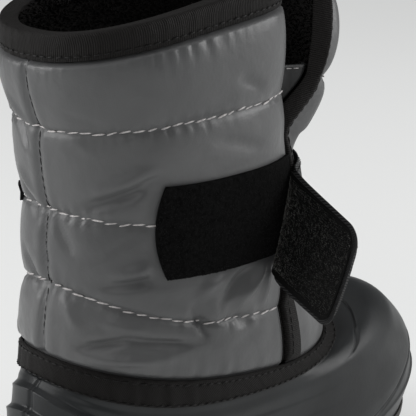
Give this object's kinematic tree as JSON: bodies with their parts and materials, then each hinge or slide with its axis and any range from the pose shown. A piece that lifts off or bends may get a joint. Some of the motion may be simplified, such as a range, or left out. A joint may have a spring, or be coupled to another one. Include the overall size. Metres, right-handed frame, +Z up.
{
  "type": "winter boot",
  "caption": "Child's winter boot: quilted padded shaft with a side slit and hook-and-loop strap on a moulded rubber galosh with a lugged sole.",
  "frame": {"origin": "on the ground under the middle of the heel, on the heel's flat rest", "axes": "+X to the toe, +Y to the inner side of the foot, +Z up"},
  "size_m": [0.2186, 0.1277, 0.2356],
  "materials": {
    "sole_rubber": "matt",
    "shell_rubber": "satin",
    "insole_felt": "matt",
    "quilted_nylon": "satin",
    "binding_tape": "matt",
    "edge_nylon": "satin",
    "gusset_nylon": "satin",
    "fastener_loop": "matt",
    "strap_webbing": "matt",
    "fastener_hook": "matt",
    "tab_tape": "matt"
  },
  "bodies": {
    "root": {"outsole": "sole_rubber", "foot_shell": "shell_rubber", "insole": "insole_felt", "shaft": "quilted_nylon", "collar_binding": "binding_tape", "near_edge_binding": "edge_nylon", "far_edge_binding": "binding_tape", "gusset": "gusset_nylon", "ankle_tape": "binding_tape", "loop_patch": "fastener_loop", "strap": "strap_webbing", "hook_pad": "fastener_hook", "side_tab": "tab_tape"}
  },
  "joints": []
}
